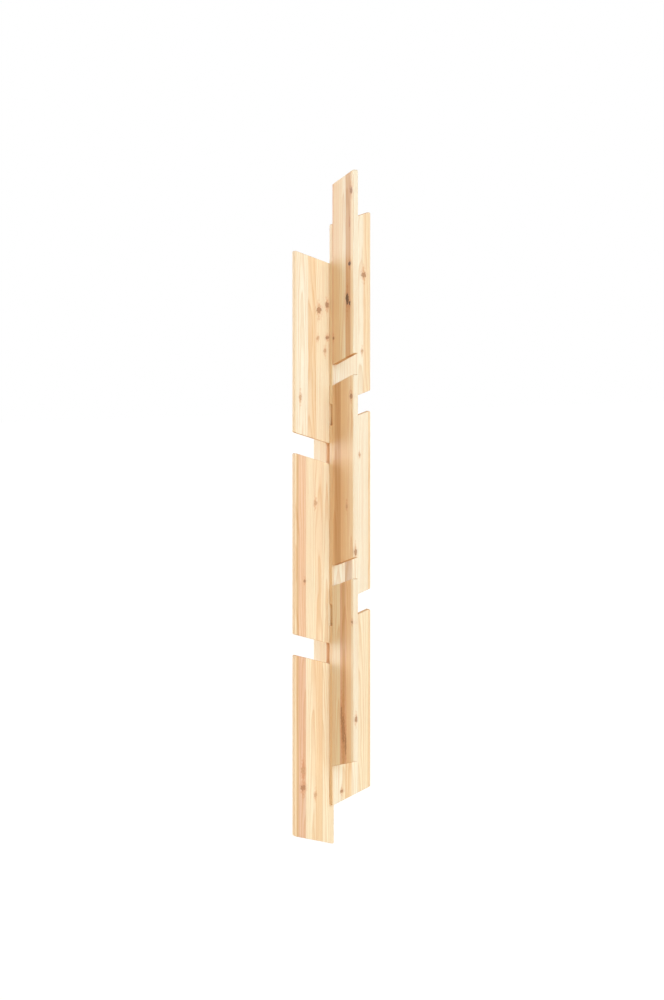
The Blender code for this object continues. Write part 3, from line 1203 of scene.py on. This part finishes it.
@dataclass
class Rack:
    """The whole rack: ten boards, their dowels and two hangers.

    Attributes:
        core: The dowels.
        spine_arris: Radius of the spine's arrises, which are crisper than the panels'.
    """

    core: Core = field(default_factory=Core)
    spine_arris: float = 1.0 * MM

    def boards(self) -> list[Board]:
        """Lay out the boards with the wood that each one shows, and a few narrow bands of painted
        shade.

        The staves' widths and the larger knots follow the photograph, and the seed is the
        board's number in this list.

        Returns:
            The nine panels and the spine.
        """
        cream, pale, straw, honey, peach, rose, tan, heart = Tone
        sound, faint, dark = KnotKind
        grown = Joint.GROWN
        woods = {
            "front_top": (
                (Band(9, peach, grown), Band(38, straw), Band(19, pale, grown), Band(20, cream),
                 Band(31, tan, grown), Band(14, pale, grown), Band(4, cream)),
                (Knot(120, 574, 7, 9), Knot(110, 470, 4, 6, faint), Knot(110, 335, 7, 6, dark),
                 Knot(96, 218, 9, 16, dark), Knot(111, 206, 5, 7, dark), Knot(8, 90, 5, 4)),
            ),
            "front_middle": (
                (Band(15, honey, grown), Band(39, tan), Band(51, honey), Band(27, straw, grown),
                 Band(3, cream)),
                (Knot(120, 569, 8, 8), Knot(92, 207, 5, 6, faint),
                 Knot(136, 60, 7, 10, sound, depth=5, lift=-1)),
            ),
            "front_bottom": (
                (Band(52, cream), Band(12, rose, grown), Band(17, tan, grown),
                 Band(7, rose, grown), Band(32, honey), Band(15, cream)),
                (Knot(126, 498, 5, 5), Knot(60, 176, 5, 28), Knot(71, 134, 8, 42),
                 Knot(85, 88, 5, 32), Knot(136, 180, 7, 9, sound, depth=5, lift=1)),
            ),
            "right_top": (
                (Band(6, pale, grown), Band(42, cream), Band(73, cream, grown), Band(29, straw)),
                (Knot(123, 435, 8, 8), Knot(117, 179, 4, 5, faint)),
            ),
            "right_middle": (
                # The first, straw band is painted shade on the inner end edge, which sits in shade
                # beside the left boards.
                (Band(6, straw, grown), Band(44, cream), Band(27, heart, grown), Band(64, cream),
                 # The last, honey band is painted shade on the outer arris, which faces away from
                 # the light.
                 Band(9, honey)),
                (Knot(107, 498, 4, 5, faint),),
            ),
            "right_bottom": (
                # The first, straw band is painted shade on the inner end edge, which sits in shade
                # beside the left boards.
                (Band(6, straw, grown), Band(34, cream, grown), Band(12, pale),
                 # The last, honey band is painted shade on the outer arris, which faces away from
                 # the light.
                 Band(24, honey, grown), Band(26, cream), Band(39, pale, grown), Band(9, honey)),
                (Knot(38, 45, 5, 5),),
            ),
            "left_top": (
                # The first, tan band is painted shade where this strip lies deep in the slot behind
                # the front boards.
                (Band(9, tan, grown), Band(37, pale), Band(23, pale, grown),
                 Band(16, honey, grown), Band(15, straw), Band(45, cream, grown), Band(5, pale)),
                (Knot(58, 450, 9, 9), Knot(27, 467, 6, 8), Knot(62, 357, 5, 4, faint),
                 Knot(26, 358, 7, 4), Knot(35, 314, 5, 6, faint), Knot(129, 163, 4, 9, faint)),
            ),
            "left_middle": (
                # The first, tan band is painted shade where this strip lies deep in the slot behind
                # the front boards.
                (Band(9, tan, grown), Band(36, pale), Band(28, straw, grown), Band(35, pale),
                 Band(28, peach, grown), Band(8, tan, grown), Band(6, straw)),
                (Knot(71, 477, 5, 7, faint), Knot(113, 221, 4, 4)),
            ),
            "left_bottom": (
                (Band(44, pale), Band(25, honey, grown), Band(13, straw, grown), Band(26, pale),
                 Band(28, rose, grown), Band(8, tan, grown), Band(6, straw)),
                (Knot(119, 203, 9, 8), Knot(72, 173, 4, 6, faint), Knot(119, 260, 7, 12, faint)),
            ),
        }
        made = []
        for seed, (place, (bands, knots)) in enumerate(woods.items(), start=1):
            side, row = place.split("_")
            node, name, heading = f"{side}_panel_{row}", f"{place}_board", Heading[side.upper()]
            made.append(Board(node, name, heading, LacqueredPine(bands, knots, seed)))
        spine_wood = LacqueredPine(
            # The first, peach band is painted shade on the spine's front edge, deep in the slots
            # between the side boards.
            (Band(3, peach, grown), Band(17, pale), Band(22, pale, grown), Band(42, cream)),
            (Knot(50, 1420, 6, 8, faint), Knot(30, 820, 6, 7), Knot(60, 250, 5, 6, faint)),
            seed=len(woods) + 1,
        )
        spine = Board(
            "wall_spine", "spine_board", Heading.WALL, spine_wood, arris_radius=self.spine_arris
        )
        return [*made, spine]

    def build(self) -> None:
        """Make and dress every piece of the rack."""
        hangers = [Hanger(place) for place in ("top", "bottom")]
        bores = self.core.bores()
        for board in self.boards():
            cutters = [bores_cutter(f"dowel_holes_{board.name}", bores)]
            if board.heading is Heading.WALL:
                for hanger in hangers:
                    cutters += hanger.cutters()
            board.build(cutters)
        self.core.dress()
        for hanger in hangers:
            hanger.build()


@dataclass
class Studio:
    """A plain white floor and backdrop, soft light and the camera.

    The key light stands in front of the rack and above it. The room is dim in front and
    bright behind, most of all behind to the left, as from a window. So faces turned left get
    their light from there, unless a board blocks it, and else from the floor and the boards.

    Attributes:
        floor_level: Height of the floor, some way under the hung rack.
        floor_side: Half the floor's side.
        floor_colour: Its colour as the boards see it, which warms what lies in shade.
        floor_glow: Brightness of the white that the eye sees.
        floor_whiteness: Share of that white; the rest shows the rack's shadow.
        key_strength: The key light's power on a face square to it.
        key_colour: Its colour, that of daylight from a window.
        key_direction: From the rack towards the key light.
        key_softness: The key light's apparent width.
        back_direction: From the rack towards the bright side of the room.
        back_edge: Cosines to that direction between which the room grows bright.
        back_level: Brightness of the backdrop there.
        back_colour: Its colour, a little cool.
        window_direction: From the rack towards the window.
        window_edge: Cosines to that direction between which the window begins.
        window_gain: How many times brighter the backdrop is in the window.
        front_level: Brightness of the room in front.
        front_colour: Its colour, a little warm.
        camera_place: The camera's place.
        camera_heading: Its turn from +Y towards +X.
        camera_drop: How far it looks down.
        camera_lens: Its lens in mm.
        camera_sensor: Its sensor along the frame's long side, in mm.
        camera_shift: Its vertical shift as a share of the frame's long side.
    """

    floor_level: float = -1.40
    floor_side: float = 30.0
    floor_colour: str = "#F5CF92"
    floor_glow: float = 1.10
    floor_whiteness: float = 0.88
    key_strength: float = 2.72
    key_colour: str = "#C9E6FF"
    key_direction: Point = (-0.08, -0.92, 0.37)
    key_softness: float = math.radians(35)
    back_direction: Point = (0.17, 0.98, 0.0)
    back_edge: tuple[float, float] = (0.0, 0.6)
    back_level: float = 1.44
    back_colour: str = "#E4F1FF"
    window_direction: Point = (-0.67, 0.74, 0.0)
    window_edge: tuple[float, float] = (0.82, 0.97)
    window_gain: float = 4.5
    front_level: float = 0.385
    front_colour: str = "#FFE8C8"
    camera_place: Point = (-3.2195, -5.4892, 0.7800)
    camera_heading: float = math.radians(30.876)
    camera_drop: float = math.radians(0.655)
    camera_lens: float = 67.83
    camera_sensor: float = 36.0
    camera_shift: float = -0.165

    def seen(self, nodes: Nodes) -> Socket:
        """What the camera sees directly, mirrored or through glass.

        Args:
            nodes: The floor's or the world's nodes.

        Returns:
            1 for what it sees so and 0 for what only lights something.
        """
        path = nodes.add("LightPath", output=None).outputs
        seen = path["Is Camera Ray"]
        for ray in ("Is Glossy Ray", "Is Transmission Ray"):
            seen = nodes.add("Math", {0: seen, 1: path[ray]}, operation="MAXIMUM")
        return seen

    def floor(self) -> Object:
        """Lay the floor: cream paper that warms what lies in shade and is overexposed to white.

        Returns:
            The floor.
        """
        side = self.floor_side
        corners = ((-side, -side), (side, -side), (side, side), (-side, side))
        places = np.column_stack((corners, np.full(4, self.floor_level)))
        obj = mesh_object("floor", places, [[0, 1, 2, 3]])
        material, nodes = new_material("matt_cream_paper")
        matt = {"Base Color": linear(self.floor_colour), "Roughness": 0.9, "IOR": 1.5}
        share = {0: self.seen(nodes), 1: self.floor_whiteness}
        mix = {
            0: nodes.add("Math", share, operation="MULTIPLY"),
            1: nodes.add("BsdfPrincipled", matt),
            2: nodes.add("Emission", {"Color": WHITE, "Strength": self.floor_glow}),
        }
        nodes.add("OutputMaterial", {"Surface": nodes.add("MixShader", mix)}, None)
        dress(obj, material)
        return obj

    def facing(
        self, nodes: Nodes, towards: Point, edge: tuple[float, float], levels: tuple[float, float]
    ) -> Socket:
        """A level that rises smoothly as the sky comes nearer to a direction.

        Args:
            nodes: The world's nodes.
            towards: The direction.
            edge: Cosines to the direction where the level starts and stops rising.
            levels: The level before and after.

        Returns:
            The level.
        """
        both = {0: nodes.add("TexCoord", output="Generated"), 1: towards}
        cosine = nodes.add("VectorMath", both, "Value", operation="DOT_PRODUCT")
        rise = {"Value": cosine, "From Min": edge[0], "From Max": edge[1]}
        rise |= {"To Min": levels[0], "To Max": levels[1]}
        return nodes.add("MapRange", rise, interpolation_type="SMOOTHSTEP")

    def world(self) -> None:
        """Light from all round: bright behind the rack and dim in front, white to the eye."""
        world = bpy.data.worlds.new("studio")
        bpy.context.scene.world = world
        world.use_nodes = True
        world.node_tree.nodes.clear()
        nodes = Nodes(world.node_tree)
        behind = self.facing(nodes, self.back_direction, self.back_edge, (0.0, 1.0))
        gains = (1.0, self.window_gain)
        window = self.facing(nodes, self.window_direction, self.window_edge, gains)
        dim = tuple(self.front_level * channel for channel in linear(self.front_colour))
        bright = tuple(self.back_level * channel for channel in linear(self.back_colour))
        light = nodes.add("Mix", {0: behind, MIX_A: dim, MIX_B: bright}, MIXED, data_type="RGBA")
        room = nodes.add("Background", {"Color": light, "Strength": window})
        white = nodes.add("Background", {"Color": WHITE, "Strength": 1.0})
        mixed = nodes.add("MixShader", {0: self.seen(nodes), 1: room, 2: white})
        nodes.add("OutputWorld", {"Surface": mixed}, None)

    def key(self) -> None:
        """Hang the key light, wide enough for soft shadows."""
        lamp = bpy.data.lights.new("key", "SUN")
        lamp.energy = self.key_strength
        lamp.color = linear(self.key_colour)[:3]
        lamp.angle = self.key_softness
        obj = bpy.data.objects.new("key", lamp)
        bpy.context.scene.collection.objects.link(obj)
        obj.rotation_mode = "QUATERNION"
        obj.rotation_quaternion = Vector(self.key_direction).to_track_quat("Z", "Y")

    def camera(self) -> None:
        """Set up the camera."""
        data = bpy.data.cameras.new("camera")
        data.lens = self.camera_lens
        data.sensor_width = self.camera_sensor
        data.shift_y = self.camera_shift
        obj = bpy.data.objects.new("camera", data)
        bpy.context.scene.collection.objects.link(obj)
        obj.location = self.camera_place
        obj.rotation_euler = (math.pi / 2 - self.camera_drop, 0.0, -self.camera_heading)
        bpy.context.scene.camera = obj

    def build(self) -> None:
        """Make the studio."""
        self.floor()
        self.world()
        self.key()
        self.camera()
        bpy.context.scene.view_settings.view_transform = "Standard"


def main() -> None:
    """Build the rack and the studio round it."""
    logging.basicConfig(level=logging.INFO, format="%(name)s: %(message)s")
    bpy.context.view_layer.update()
    Rack().build()
    Studio().build()
    bpy.context.view_layer.update()


if __name__ == "__main__":
    main()
